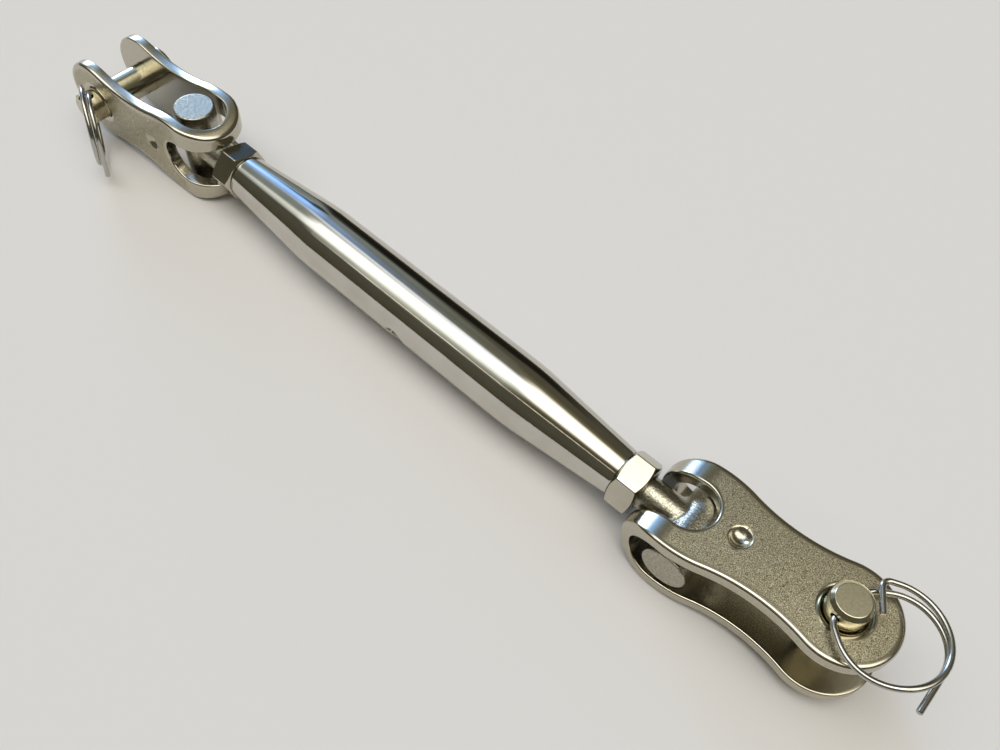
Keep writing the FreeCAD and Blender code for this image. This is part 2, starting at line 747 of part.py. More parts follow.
near_nut_start = half_length
far_nut_start = -(half_length + size["nut_height"])
sub_parts = [body_tube()]
sub_parts.append(lock_nut("near_lock_nut", near_nut_start, size["near_nut_turn"]))
sub_parts.append(lock_nut("far_lock_nut", far_nut_start, size["far_nut_turn"]))
sub_parts += near_end()
sub_parts += far_end()

os.makedirs("parts", exist_ok=True)
for part in checked(sub_parts):
    part.Shape.exportStep("parts/" + part.Label + ".step")
    box = part.Shape.BoundBox
    print(part.Label, round(part.Shape.Volume, 1), "low", round(box.ZMin, 2), "high", round(box.ZMax, 2))
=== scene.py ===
import math

import bmesh
import bpy
import numpy as np
from mathutils import Matrix


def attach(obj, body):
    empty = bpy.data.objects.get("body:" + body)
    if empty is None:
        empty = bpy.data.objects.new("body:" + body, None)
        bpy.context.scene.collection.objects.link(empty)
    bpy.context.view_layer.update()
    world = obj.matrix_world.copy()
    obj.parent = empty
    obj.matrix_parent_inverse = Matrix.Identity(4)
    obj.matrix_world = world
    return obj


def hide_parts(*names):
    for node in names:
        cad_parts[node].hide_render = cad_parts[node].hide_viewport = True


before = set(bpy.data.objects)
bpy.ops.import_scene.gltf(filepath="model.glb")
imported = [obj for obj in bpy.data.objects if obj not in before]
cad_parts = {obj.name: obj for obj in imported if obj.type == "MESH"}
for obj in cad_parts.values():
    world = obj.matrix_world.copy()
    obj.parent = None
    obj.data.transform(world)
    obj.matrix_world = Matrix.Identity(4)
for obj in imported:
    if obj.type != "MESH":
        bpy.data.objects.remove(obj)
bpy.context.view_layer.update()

# Everything below is in millimetres in the screw's frame, until a mesh is made in metres.
MM = 0.001

# Closed body
BODY_HALF = 60.0
BODY_RADIUS = 8.0
BODY_END_RADIUS = 5.55
BODY_STRAIGHT = 29.0
TAPER_RADIUS = 85.0
BODY_END_ROUND = 0.5
CAVITY_RADIUS = 5.0
TAPPED_RADIUS = 4.05
TAPPED_LENGTH = 22.0
BAR_HOLE_RADIUS = 2.5
BAR_HOLE_ROUND = 0.45
BAR_HOLE_TURN = math.radians(20.0)
# Half length of the middle band with the bar hole, where the close stations on the taper end, and the
# length of the end's band
BODY_BAND = 6.0
BODY_CLOSE_END = 37.0
BODY_END_BAND = 1.0

# Lock nuts
NUT_APOTHEM = 6.0
NUT_HEIGHT = 6.0
NUT_FACE_RADIUS = 5.7
NUT_CHAMFER = math.radians(30.0)
NUT_CORNER_ROUND = 0.35
THREAD_LEAD = 0.7
NEAR_NUT_TURN = math.radians(11.0)
FAR_NUT_TURN = math.radians(-10.0)
# Where the middle of a flat is before the nut is turned, as in the solid
NUT_FLAT_AT = math.radians(30.0)

# T-bolts
STEM_RADIUS = 4.0
STEM_HALF_GAP = 4.5
STEM_POINT = 1.0
BARREL_RADIUS = 5.05
BARREL_HALF = 11.2
BARREL_ROUND = 0.5
NECK_ROUND = 1.8
THREAD_PITCH = 1.25
THREAD_DEPTH = 0.6
THREAD_START = 12.2
# Flank of the tooth, the part of its wave that is crest, and the turns in which it reaches its depth
THREAD_FLANK = 1.35
THREAD_CREST = 0.12
THREAD_RUN_OUT = 1.5
# Half length of the part of the barrel that runs into the neck
NECK_BAND = 7.4
NEAR_BARREL = 78.4
FAR_BARREL = 78.1

# Toggles
PLATE = 3.0
INNER_HALF = 6.15
OUTER_HALF = INNER_HALF + PLATE
JAW_DEPTH = 33.0
FOLD_HALF_WIDTH = 11.4
CROWN_RADIUS = 26.5
CROWN_OFFSET = 1.6
WAIST_RADIUS = 38.0
MOUTH_RADIUS = 10.6
EDGE_ROUND = 0.9
INNER_ROUND = 0.4
SLOT_HALF = 5.6
SLOT_REACH = 5.8
SLOT_ROUND = 0.5
PIN_HOLE_RADIUS = 4.08
PIN_HOLE_ROUND = 1.15
DIMPLE_AT = 11.3
DIMPLE_RADIUS = 2.2
DIMPLE_DEPTH = 1.3
DIMPLE_SOFT = 0.22
# Half length of the close stations round the dimple, and the outer side's stations opposite the slot's
# end and the pin hole's start
DIMPLE_REACH = 2.7
SLOT_END_OUTER = 8.2
HOLE_START_OUTER = 27.6
NEAR_SWING = math.radians(6.7)
FAR_SWING = math.radians(2.5)
BARREL_SHIFT = 2.6
NEAR_LIFT = 0.5
FAR_DROP = 0.2

# Polish of the toggles, 0 sandy to 1 bright: how wide the bright rims are, the polish of the plate's
# walls, of the bend and the faces inside the jaw, and of the dimples, and how far dimple and bend fade
RIM_WIDTH = 0.55
WALL_POLISH = 0.72
SMOOTH_POLISH = 0.8
DIMPLE_POLISH = 0.7
DIMPLE_FADE = 0.6
BEND_FADE_START = 2.0
BEND_FADE = 3.0

# Clevis pins and cotter rings
PIN_RADIUS = 4.0
PIN_SEAT = -OUTER_HALF - 0.05
PIN_HEAD_RADIUS = 5.75
PIN_HEAD_HEIGHT = 3.2
PIN_HEAD_ROUND = 0.8
PIN_TOP = OUTER_HALF + 4.6
PIN_CHAMFER = 0.8
# Half length of the part of the shank with the cross hole, and the width and depth of the hole's rim
PIN_BAND = 1.6
WIRE_HOLE_RIM = 0.12
WIRE_HOLE_RIM_DEPTH = 0.1
WIRE_RADIUS = 0.6
WIRE_HOLE_RADIUS = 0.9
WIRE_HOLE_AT = OUTER_HALF + 2.2
NEAR_PIN_TURN = math.radians(-103.4)
FAR_PIN_TURN = math.radians(78.0)
NEAR_RING_TILT = 0.0
FAR_RING_TILT = math.radians(30.0)
# Discs that the wire is wound round, in the ring's plane: middle and radius
RING_OUTER = (-1.6, 7.75, 9.45)
RING_INNER = (-1.7, 8.8, 8.5)
RING_END_BEND = (-7.55, 2.35, 1.5)
RING_FIRST_BEND = (3.2, 2.8, 2.8)
RING_SECOND_BEND = (-3.2, 4.0, 4.0)
RING_RISE = 1.3
RING_END_HEADING = math.radians(221.0)
RING_END_LENGTH = 5.0
RING_TAIL_HEADING = math.radians(11.0)
RING_TAIL_LENGTH = 8.5
RING_RAMP = (math.radians(-20.0), math.radians(-95.0))

# How much is taken off edges that look sharp
EDGE_BREAK = 0.1
NUT_LEAD_BREAK = 0.08
FINE_BREAK = 0.06
# Fineness of the meshes, and in metres what counts as one point and as a collapsed edge
AROUND = 192
SHARP = math.radians(32.0)
FLAT_GUARD = 0.05
MERGE_WITHIN = 2e-6
COLLAPSED = 1e-7
# How close to a cylinder's radius and direction a corner has to be to get its exact normal
ROUND_SLACK = 0.003
ROUND_AGREE = math.cos(math.radians(22.0))


def unit(vectors):
    """Vectors divided by their lengths."""
    return vectors / np.linalg.norm(vectors, axis=-1, keepdims=True)


def facing(angle):
    """Direction at an angle in a plane."""
    return np.array([math.cos(angle), math.sin(angle)])


def grid(points, wrap=True, keep=None):
    """Vertices and quads of a sheet of rows by columns, whose last column joins the first if it wraps.
    Keep says which quads are made."""
    rows, columns = points.shape[:2]
    index = np.arange(rows * columns).reshape(rows, columns)
    if wrap:
        index = np.hstack([index, index[:, :1]])
    quads = np.stack([index[:-1, :-1], index[1:, :-1], index[1:, 1:], index[:-1, 1:]], axis=-1)
    if keep is not None:
        quads = quads[keep]
    return points.reshape(-1, 3), quads.reshape(-1, 4)


def placed(points, seat):
    """Points of a local frame put into the screw's frame. A seat is where the local origin is, and where
    the local X and Y run."""
    origin, along, side = seat
    axes = np.array([along, side, np.cross(along, side)])
    return points @ axes + np.asarray(origin)


def new_object(name, data):
    """An object, linked into the scene."""
    thing = bpy.data.objects.new(name, data)
    bpy.context.scene.collection.objects.link(thing)
    return thing


def build(name, sheets, seat, polish=None, rounds=()):
    """One closed mesh in metres from its sheets, with doubles merged and faces turned outwards. Polish is
    a value for each point. Rounds are the straight cylinders whose corners get exact normals: a local
    axis, 0 to 2, and a radius."""
    starts = np.cumsum([0] + [len(points) for points, quads in sheets])
    points = placed(np.concatenate([p for p, q in sheets]), seat) * MM
    quads = np.concatenate([q + start for (p, q), start in zip(sheets, starts)])
    mesh = bpy.data.meshes.new(name)
    mesh.from_pydata(points, [], quads)
    if polish is not None:
        layer = mesh.attributes.new("polish", "FLOAT", "POINT")
        layer.data.foreach_set("value", np.asarray(polish, dtype=np.float32))
    shell = bmesh.new()
    shell.from_mesh(mesh)
    bmesh.ops.remove_doubles(shell, verts=shell.verts, dist=MERGE_WITHIN)
    bmesh.ops.dissolve_degenerate(shell, edges=shell.edges, dist=COLLAPSED)
    bmesh.ops.recalc_face_normals(shell, faces=shell.faces)
    shell.to_mesh(mesh)
    shell.free()
    mesh.polygons.foreach_set("use_smooth", np.ones(len(mesh.polygons), dtype=bool))
    mesh.set_sharp_from_angle(angle=SHARP)
    middle, *directions = placed(np.vstack([np.zeros(3), np.eye(3)]), seat)
    for axis, radius in rounds:
        true_round(mesh, middle, directions[axis] - middle, radius)
    return new_object(name, mesh)


def true_round(mesh, middle, axis, radius):
    """Normals on a straight cylinder point exactly away from its axis, so that the uneven quads round a
    hole or a neck don't dent the reflections."""
    places = np.empty(len(mesh.vertices) * 3)
    mesh.vertices.foreach_get("co", places)
    away = places.reshape(-1, 3) / MM - middle
    away -= (away @ axis)[:, None] * axis
    distance = np.linalg.norm(away, axis=1)
    away /= np.maximum(distance, 1e-9)[:, None]
    corner = np.empty(len(mesh.loops), dtype=np.int32)
    mesh.loops.foreach_get("vertex_index", corner)
    normals = np.empty(len(mesh.loops) * 3)
    mesh.corner_normals.foreach_get("vector", normals)
    normals = normals.reshape(-1, 3)
    agree = np.sum(normals * away[corner], axis=1)
    fitting = (np.abs(distance - radius) < ROUND_SLACK)[corner] & (agree > ROUND_AGREE)
    normals[fitting] = away[corner][fitting]
    mesh.normals_split_custom_set(normals)


def turned_sheet(profile, axis, columns):
    """Surface of revolution: each point of the profile, given as its place along the axis and its radius,
    is carried round the axis as radius times cosine and sine of the angle. Axis 0, 1 or 2 is X, Y or Z."""
    angles = np.linspace(0.0, 2 * math.pi, columns, endpoint=False)
    along, radius = np.asarray(profile, dtype=float).T[..., None]
    points = np.empty((len(along), columns, 3))
    points[..., axis] = along
    points[..., (axis + 1) % 3] = radius * np.cos(angles)
    points[..., (axis + 2) % 3] = radius * np.sin(angles)
    return grid(points)


def eased(corners, eases):
    """A line of corners with each inner one rounded: a parabola from one ease before it to one ease after
    it, and one more point beyond each of these, which keeps the flats beside it flat."""
    corners = np.asarray(corners, dtype=float)
    ease = np.asarray(eases, dtype=float).reshape((-1,) + (1,) * (corners.ndim - 1))
    middle = corners[1:-1]
    back = unit(corners[:-2] - middle)
    ahead = unit(corners[2:] - middle)
    guard = ease + FLAT_GUARD
    points = [middle + guard * back]
    for t in np.linspace(0.0, 1.0, 6):
        points.append(middle + ease * ((1 - t) ** 2 * back + t ** 2 * ahead))
    points.append(middle + guard * ahead)
    points = np.stack(points, axis=1).reshape((-1,) + corners.shape[1:])
    return np.concatenate([corners[:1], points, corners[-1:]])


def rectangle_rim(half_length, sides, ends):
    """Points round the unrolled half of a cylinder, length by angle, with its corners in, and the matching
    angles round a hole in its middle."""
    s = np.linspace(-1.0, 1.0, sides, endpoint=False)
    e = np.linspace(-1.0, 1.0, ends, endpoint=False)
    one = np.ones
    across = np.concatenate([one(sides), -e, -one(sides), e])
    upward = np.concatenate([s, one(ends), -s, -one(ends)])
    return across * half_length, upward * (math.pi / 2), np.arctan2(upward, across)


def holed_half(radius, half_length, sides, ends, rings, rim):
    """Half a cylinder's band with a round hole in its middle, as rings between the band's rectangle and
    the hole's rim, closer together near the rim. Unrolled, each ring is a blend of the two, and radius
    times cosine and sine of the angle rolls it up. Axis X, hole along Y."""
    crowding = 0.7
    along, angle, turn = rectangle_rim(half_length, sides, ends)
    start_x = rim * np.cos(turn)
    start_angle = np.arcsin(rim * np.sin(turn) / radius)
    blend = (np.linspace(0.0, 1.0, rings) ** crowding)[:, None]
    x = along + (start_x - along) * blend
    a = angle + (start_angle - angle) * blend
    return np.stack([x, radius * np.cos(a), radius * np.sin(a)], axis=-1), turn


def body_radius(x):
    """Radius of the closed body at x: the straight middle, then a circle that is tangent to the middle and
    to the straight line through the end's rim, and from where they touch that line, the taper."""
    x = np.abs(x)
    run = BODY_HALF - BODY_STRAIGHT
    drop = BODY_END_RADIUS - BODY_RADIUS + TAPER_RADIUS
    reach = run * run + drop * drop
    tangent = math.sqrt(reach - TAPER_RADIUS ** 2)
    touch = BODY_STRAIGHT + TAPER_RADIUS * (run * TAPER_RADIUS - drop * tangent) / reach
    touch_radius = BODY_RADIUS - TAPER_RADIUS + TAPER_RADIUS * (drop * TAPER_RADIUS + run * tangent) / reach
    arc = BODY_RADIUS - TAPER_RADIUS + np.sqrt(TAPER_RADIUS ** 2 - np.clip(x - BODY_STRAIGHT, 0, None) ** 2)
    taper = touch_radius + (x - touch) * (BODY_END_RADIUS - touch_radius) / (BODY_HALF - touch)
    return np.where(x < BODY_STRAIGHT, BODY_RADIUS, np.where(x < touch, arc, taper))


def body_sheets():
    """The body: two turned ends, and a middle band whose halves are one sheet each: the outside, the bar
    hole's rim as a quarter circle that follows the tube, and the inside, which the hole's wall joins."""
    sides = AROUND // 2
    ends = 24
    rim = BAR_HOLE_RADIUS + BAR_HOLE_ROUND
    outer, turn = holed_half(BODY_RADIUS, BODY_BAND, sides, ends, 16, rim)
    inner, turn = holed_half(CAVITY_RADIUS, BODY_BAND, sides, ends, 12, BAR_HOLE_RADIUS)
    step = np.linspace(0.0, math.pi / 2, 7)[1:, None]
    radius = BAR_HOLE_RADIUS + BAR_HOLE_ROUND * (1 - np.sin(step))
    across = radius * np.sin(turn)
    round_rim = np.stack([radius * np.cos(turn), np.sqrt(BODY_RADIUS ** 2 - across ** 2)
                          - BAR_HOLE_ROUND * (1 - np.cos(step)), across], axis=-1)
    half = np.concatenate([outer, round_rim, inner[::-1]])
    before_end = BODY_HALF - BODY_END_BAND
    x = np.concatenate([np.linspace(BODY_BAND, BODY_STRAIGHT, 12),
                        np.linspace(BODY_STRAIGHT, BODY_CLOSE_END, 24)[1:],
                        np.linspace(BODY_CLOSE_END, before_end, 10)[1:-1]])
    thread_end = BODY_HALF - TAPPED_LENGTH
    corners = [(before_end, body_radius(before_end)), (BODY_HALF, BODY_END_RADIUS),
               (BODY_HALF, TAPPED_RADIUS + THREAD_LEAD), (BODY_HALF - THREAD_LEAD, TAPPED_RADIUS),
               (thread_end, TAPPED_RADIUS), (thread_end - CAVITY_RADIUS + TAPPED_RADIUS, CAVITY_RADIUS),
               (BODY_BAND, CAVITY_RADIUS)]
    end = eased(corners, [BODY_END_ROUND, FINE_BREAK, FINE_BREAK, EDGE_BREAK, EDGE_BREAK])
    profile = np.concatenate([np.column_stack([x, body_radius(x)]), end])
    return ([grid(half * [1.0, sign, sign]) for sign in (1.0, -1.0)]
            + [turned_sheet(profile * [sign, 1.0], 0, AROUND) for sign in (1.0, -1.0)])


def axis_seat(start, turn):
    """Seat of a piece that starts there on the screw's axis and is turned about it."""
    return (start, 0.0, 0.0), (1.0, 0.0, 0.0), (0.0, math.cos(turn), math.sin(turn))


def rounded_hexagon(apothem, corner, count):
    """Points round a hexagon with rounded corners: each sixth is a flat and the arc after it."""
    half_flat = (apothem - corner) / math.sqrt(3)
    arc = np.linspace(-30.0, 30.0, 7)
    flat = np.linspace(0.0, 1.0, count)[:-1]
    points = []
    for k in range(6):
        normal = math.radians(60 * k)
        out = facing(normal)
        side = np.array([-out[1], out[0]])
        along = (2 * flat - 1) * half_flat
        points.append(apothem * out + along[:, None] * side)
        centre = (apothem - corner) * out + half_flat * side
        angles = normal + np.radians(arc + 30.0)
        points.append(centre + corner * np.stack([np.cos(angles), np.sin(angles)], axis=1)[:-1])
    return np.concatenate(points)


def nut_sheets():
    """Lock nut along X from 0: flats, chamfer cones that meet them in curved edges, lead-ins and bore.
    Each column follows one point of the hexagon, and the cone meets it where its distance from the face
    is the point's radius beyond the face's, times the tangent of the chamfer's angle."""
    rim = rounded_hexagon(NUT_APOTHEM, NUT_CORNER_ROUND, 26)
    reach = np.linalg.norm(rim, axis=1)
    way = rim / reach[:, None]
    cone = (reach - NUT_FACE_RADIUS) * math.tan(NUT_CHAMFER)
    one = np.ones(len(reach))
    half = np.array([(one * NUT_HEIGHT / 2, one * TAPPED_RADIUS), (one * THREAD_LEAD, one * TAPPED_RADIUS),
                     (0 * one, one * (TAPPED_RADIUS + THREAD_LEAD)), (0 * one, one * NUT_FACE_RADIUS),
                     (cone, reach), (one * NUT_HEIGHT / 2, reach)]).transpose(0, 2, 1)
    lines = eased(half, [EDGE_BREAK, NUT_LEAD_BREAK, EDGE_BREAK, EDGE_BREAK])
    mirrored = lines[::-1] * [-1.0, 1.0] + [NUT_HEIGHT, 0.0]
    lines = np.concatenate([lines, mirrored[1:]])
    points = np.concatenate([lines[..., :1], way * lines[..., 1:]], axis=-1)
    return [grid(points)]


def bolt_sheets(reach, hand):
    """T-bolt: barrel along Y, stem along -X. A ball of the neck's radius is rolled round the stem, touching
    it and the barrel, and the neck is the arc between the two. The thread is a three-cornered wave of the
    radius, cut off at crest and root, whose phase is the length in pitches plus or minus the turn."""
    sides = 64
    ends = 20
    crowding = 0.8
    rows_per_turn = 9
    y_rim, angle_rim, turn = rectangle_rim(NECK_BAND, sides, ends)
    # Middle of the rolling ball, and the ways from it to where it touches the barrel and the stem
    ball_y = (STEM_RADIUS + NECK_ROUND) * np.cos(turn)
    ball_z = (STEM_RADIUS + NECK_ROUND) * np.sin(turn)
    ball_x = -np.sqrt((BARREL_RADIUS + NECK_ROUND) ** 2 - ball_z ** 2)
    ball = np.stack([ball_x, ball_y, ball_z], axis=1)
    share = BARREL_RADIUS / (BARREL_RADIUS + NECK_ROUND)
    to_barrel = np.stack([ball_x * share, ball_y, ball_z * share], axis=1) - ball
    to_stem = np.stack([ball_x, STEM_RADIUS * np.cos(turn), STEM_RADIUS * np.sin(turn)], axis=1) - ball
    opening = np.arccos(np.clip(np.sum(to_barrel * to_stem, axis=1) / NECK_ROUND ** 2, -1, 1))
    part = np.linspace(0.0, 1.0, 9)[:, None, None]
    wide = opening[None, :, None]
    neck = ball + (np.sin((1 - part) * wide) * to_barrel + np.sin(part * wide) * to_stem) / np.sin(wide)
    blend = (np.linspace(0.0, 1.0, 10) ** crowding)[:, None]
    touch_angle = np.arctan2(ball_z, -ball_x)
    y = y_rim + (ball_y - y_rim) * blend
    a = angle_rim + (touch_angle - angle_rim) * blend
    face = np.stack([-BARREL_RADIUS * np.cos(a), y, BARREL_RADIUS * np.sin(a)], axis=-1)
    stem_end = -(reach - STEM_HALF_GAP)
    plain = np.linspace(0.0, 1.0, 8)[1:, None]
    first = ball_x + (-THREAD_START - ball_x) * plain
    count = int((-stem_end - STEM_POINT - THREAD_START) / THREAD_PITCH * rows_per_turn)
    threaded = np.linspace(-THREAD_START, stem_end + STEM_POINT, count)[1:, None] + 0 * ball_x
    x = np.concatenate([first, threaded])
    phase = x / THREAD_PITCH - hand * turn / (2 * math.pi)
    wave = np.abs((phase % 1.0) * 2 - 1)
    tooth = np.clip(wave * THREAD_FLANK - THREAD_CREST, 0.0, 1.0)
    run_out = np.clip((-x - THREAD_START) / (THREAD_RUN_OUT * THREAD_PITCH), 0.0, 1.0)
    radius = STEM_RADIUS - THREAD_DEPTH * tooth * run_out
    stem = np.stack([x, radius * np.cos(turn), radius * np.sin(turn)], axis=-1)
    point_x = np.array([stem_end + STEM_POINT * 0.5, stem_end, stem_end])[:, None] + 0 * ball_x
    point_r = np.array([STEM_RADIUS - STEM_POINT * 0.75, STEM_RADIUS - STEM_POINT * 1.1, 0.0])[:, None]
    point = np.stack([point_x, point_r * np.cos(turn), point_r * np.sin(turn)], axis=-1)
    front = np.concatenate([face, neck[1:], stem, point])
    back_angle = np.linspace(math.pi / 2, 3 * math.pi / 2, sides + 1)
    back = np.empty((ends + 1, sides + 1, 3))
    back[..., 0] = -BARREL_RADIUS * np.cos(back_angle)
    back[..., 1] = np.linspace(-NECK_BAND, NECK_BAND, ends + 1)[:, None]
    back[..., 2] = BARREL_RADIUS * np.sin(back_angle)
    cap = eased([(NECK_BAND, BARREL_RADIUS), (BARREL_HALF, BARREL_RADIUS), (BARREL_HALF, 0.0)],
                [BARREL_ROUND])
    caps = [turned_sheet(cap * [sign, 1.0], 1, 2 * sides) for sign in (1.0, -1.0)]
    return [grid(front), grid(back, wrap=False)] + caps


def outline_points():
    """Centres of the crown and the waist arcs of the toggle's hourglass side, and where the waist touches
    the crown and the mouth. The waist's centre is where its distances to theirs are the sums of radii."""
    crown = np.array([CROWN_OFFSET, FOLD_HALF_WIDTH - CROWN_RADIUS])
    mouth = np.array([JAW_DEPTH, 0.0])
    far = CROWN_RADIUS + WAIST_RADIUS
    near = MOUTH_RADIUS + WAIST_RADIUS
    way = mouth - crown
    span = np.linalg.norm(way)
    along = (far ** 2 - near ** 2 + span ** 2) / (2 * span)
    across = math.sqrt(far ** 2 - along ** 2)
    way = way / span
    waist = crown + way * along + np.array([-way[1], way[0]]) * across
    first = crown + (waist - crown) * CROWN_RADIUS / far
    second = mouth + (waist - mouth) * MOUTH_RADIUS / near
    return crown, waist, first, second


def outline_at(u):
    """Points of the toggle's side at u, which are on the crown's, the waist's or the mouth's circle, and
    their outward normals."""
    crown, waist, first, second = outline_points()
    u = np.asarray(u, dtype=float)
    on_crown = u <= first[0]
    on_waist = (u > first[0]) & (u <= second[0])
    crown_v = crown[1] + np.sqrt(np.clip(CROWN_RADIUS ** 2 - (u - crown[0]) ** 2, 0, None))
    waist_v = waist[1] - np.sqrt(np.clip(WAIST_RADIUS ** 2 - (u - waist[0]) ** 2, 0, None))
    mouth_v = np.sqrt(np.clip(MOUTH_RADIUS ** 2 - (u - JAW_DEPTH) ** 2, 0, None))
    v = np.where(on_crown, crown_v, np.where(on_waist, waist_v, mouth_v))
    points = np.stack([u, v], axis=-1)
    normal = np.where(on_crown[..., None], points - crown,
                      np.where(on_waist[..., None], waist - points, points - [JAW_DEPTH, 0.0]))
    return points, unit(normal)


def plate_stations():
    """Stations from the fold to the mouth's tip: inner point and normal, outer point and normal, rim
    radius, and whether the inner side is a wall there or the plate's middle line."""
    slot_x = SLOT_REACH - SLOT_HALF
    hole_near = JAW_DEPTH - PIN_HOLE_RADIUS
    touch = outline_points()[-1][0]
    stations = []

    def add_stations(inner, normal, outer, rim, wall):
        count = len(inner)
        stations.append((inner, normal, *outer, np.full(count, rim), np.full(count, wall)))

    u = np.array([0.0, slot_x])
    add_stations(np.stack([u, np.full(2, SLOT_HALF)], axis=1), np.tile([0.0, 1.0], (2, 1)), outline_at(u),
                 SLOT_ROUND, True)
    # Round the slot's end
    a = np.linspace(0.0, math.pi / 2, 25)[1:]
    ray = np.stack([np.sin(a), np.cos(a)], axis=1)
    add_stations(SLOT_HALF * ray + [slot_x, 0.0], ray,
                 outline_at(slot_x + (SLOT_END_OUTER - slot_x) * a / (math.pi / 2)), SLOT_ROUND, True)
    # Along the middle line, from just beyond the slot's rim to just before the pin hole's
    before, after = DIMPLE_AT - DIMPLE_REACH, DIMPLE_AT + DIMPLE_REACH
    u = np.concatenate([np.arange(SLOT_REACH + SLOT_ROUND + 0.15, before, 0.5),
                        np.linspace(before, after, 41),
                        np.linspace(after, hole_near - PIN_HOLE_ROUND - 0.2, 20)[1:]])
    share = (u - u[0]) / (u[-1] - u[0])
    middle = np.stack([u, 0 * u], axis=1)
    outer_u = SLOT_END_OUTER + 0.3 + (HOLE_START_OUTER - 0.5 - SLOT_END_OUTER) * share
    add_stations(middle, 0 * middle, outline_at(outer_u), 0.0, False)
    # Round the pin hole, up to where the mouth's circle starts, and on round the mouth
    cross = math.acos((JAW_DEPTH - touch) / MOUTH_RADIUS)
    a = np.linspace(0.0, cross, 16)
    ray = np.stack([-np.cos(a), np.sin(a)], axis=1)
    outer_u = HOLE_START_OUTER + (touch - HOLE_START_OUTER) * a / cross
    add_stations(PIN_HOLE_RADIUS * ray + [JAW_DEPTH, 0.0], ray, outline_at(outer_u), PIN_HOLE_ROUND, True)
    a = np.linspace(cross, math.pi, 34)[1:]
    ray = np.stack([-np.cos(a), np.sin(a)], axis=1)
    mouth = MOUTH_RADIUS * ray + [JAW_DEPTH, 0.0]
    add_stations(PIN_HOLE_RADIUS * ray + [JAW_DEPTH, 0.0], ray, (mouth, ray), PIN_HOLE_ROUND, True)
    return [np.concatenate(columns) for columns in zip(*stations)]


def section_loop():
    """The closed section of the plate as arrays: share of the way from the inner to the outer side, inset
    from the inner side in rim radii, inset from the outer side, depth below the outer face, and what is
    added to the depth in rim radii."""
    loop = []
    # The face's points stand closer on the inner side, where the dimple is
    face = np.concatenate([np.linspace(0.0, 0.27, 17), np.linspace(0.27, 1.0, 12)[1:]])
    for depth in (PLATE, PLATE * 0.66, PLATE * 0.45):
        loop.append((0.0, 0.0, 0.0, depth, 0.0))
    for a in np.radians(np.linspace(0.0, 90.0, 6)):
        loop.append((0.0, 1 - math.cos(a), 0.0, 0.0, 1 - math.sin(a)))
    for share in face[1:-1]:
        loop.append((share, 1.0, EDGE_ROUND, 0.0, 0.0))
    for a in np.radians(np.linspace(0.0, 90.0, 8)):
        loop.append((1.0, 0.0, EDGE_ROUND * (1 - math.sin(a)), EDGE_ROUND * (1 - math.cos(a)), 0.0))
    loop.append((1.0, 0.0, 0.0, PLATE * 0.6, 0.0))
    for a in np.radians(np.linspace(0.0, 90.0, 5)):
        loop.append((1.0, 0.0, INNER_ROUND * (1 - math.cos(a)),
                     PLATE - INNER_ROUND * (1 - math.sin(a)), 0.0))
    for share in face[1:-1][::-1]:
        loop.append((share, 0.0, INNER_ROUND, PLATE, 0.0))
    return np.array(loop).T


def dimple(u, v):
    """Depth of the punched dimple: a ball's cap, whose rim is softened by taking the soft maximum, the
    logarithm of a sum of exponentials, of the cap and nothing."""
    ball = (DIMPLE_RADIUS ** 2 + DIMPLE_DEPTH ** 2) / (2 * DIMPLE_DEPTH)
    away = np.minimum((u - DIMPLE_AT) ** 2 + v ** 2, ball ** 2)
    cap = np.sqrt(ball ** 2 - away) - (ball - DIMPLE_DEPTH)
    soft = DIMPLE_SOFT
    return soft * np.logaddexp(0.0, cap / soft) - soft * np.logaddexp(0.0, (DIMPLE_DEPTH - ball) / soft)


